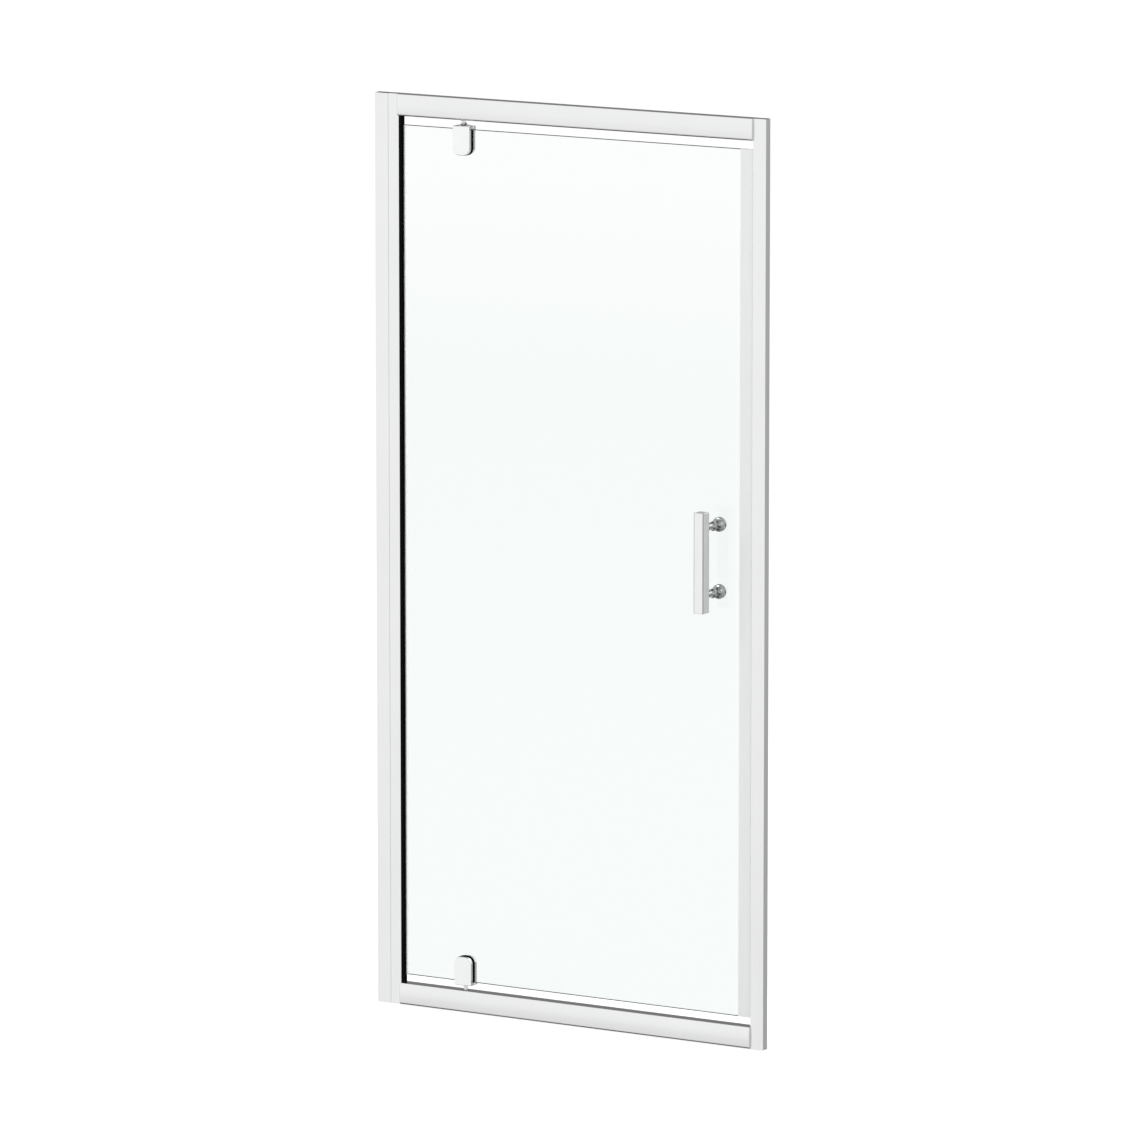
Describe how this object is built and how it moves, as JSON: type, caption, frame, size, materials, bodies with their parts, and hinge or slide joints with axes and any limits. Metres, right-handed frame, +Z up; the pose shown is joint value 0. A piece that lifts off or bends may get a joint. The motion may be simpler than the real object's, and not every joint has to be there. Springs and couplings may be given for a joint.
{
  "type": "pivot shower door",
  "caption": "Framed pivot shower door: bright aluminium frame, clear glass leaf on clamped pivot pins set in from the hinge side, upright bar handle.",
  "frame": {"origin": "middle of the bottom rail's underside, on the mid-plane of the glass and of the pivot axis", "axes": "+X from the hinge side to the strike side, -Y towards the outside of the shower (the side the handle bar is on and the door opens to), +Z up"},
  "size_m": [0.9, 0.0885, 1.85],
  "materials": {
    "polished_aluminium": "bright polished and anodised",
    "chrome": "polished chrome plate",
    "glass": "clear toughened safety glass, smooth",
    "clear_vinyl": "clear flexible vinyl, gloss",
    "milky_vinyl": "translucent milky vinyl, gloss",
    "black_rubber": "black, matt",
    "white_magnet": "white vinyl-bonded magnet",
    "grey_plastic": "moulded, pale, matt",
    "dark_plastic": "moulded, matt",
    "white_plastic": "acetal, matt",
    "steel": "stainless, plain"
  },
  "bodies": {
    "frame": {"wall_channel_hinge_side": "polished_aluminium", "wall_channel_strike_side": "polished_aluminium", "hinge_post": "polished_aluminium", "hinge_post_top_cap": "dark_plastic", "hinge_post_gasket": "black_rubber", "strike_post": "polished_aluminium", "strike_post_top_cap": "dark_plastic", "strike_magnet_strip": "white_magnet", "channel_screws_hinge_side": "steel", "channel_screws_strike_side": "steel", "screw_caps_hinge_side": "chrome", "screw_caps_strike_side": "chrome", "bottom_rail": "polished_aluminium", "bottom_rail_end_caps": "grey_plastic", "top_rail": "polished_aluminium", "top_rail_end_caps": "grey_plastic", "bottom_pivot_block": "white_plastic", "top_pivot_block": "white_plastic", "pivot_block_screws": "steel", "bottom_pivot_bush": "dark_plastic", "top_pivot_bush": "dark_plastic", "bottom_thrust_disc": "steel", "rail_screws_hinge_side": "steel", "rail_screws_strike_side": "steel"},
    "door": {"glass_panel": "glass", "hinge_edge_seal": "clear_vinyl", "hinge_edge_fin": "black_rubber", "closing_edge_seal": "milky_vinyl", "closing_magnet": "white_magnet", "top_clamp_front_plate": "chrome", "top_clamp_back_plate": "chrome", "top_clamp_gaskets": "black_rubber", "top_clamp_screws": "steel", "bottom_clamp_front_plate": "chrome", "bottom_clamp_back_plate": "chrome", "bottom_clamp_gaskets": "black_rubber", "bottom_clamp_screws": "steel", "top_pivot_pin": "chrome", "bottom_pivot_pin": "chrome", "handle_bar": "chrome", "handle_stems": "chrome", "handle_knobs": "chrome", "handle_studs": "steel", "handle_washers": "black_rubber"}
  },
  "joints": [
    {"name": "door_pivot", "type": "hinge", "parent": "frame", "child": "door", "pos_m": [-0.245, 0, 0], "axis": [0, 0, -1], "range_deg": [0, 90]}
  ]
}
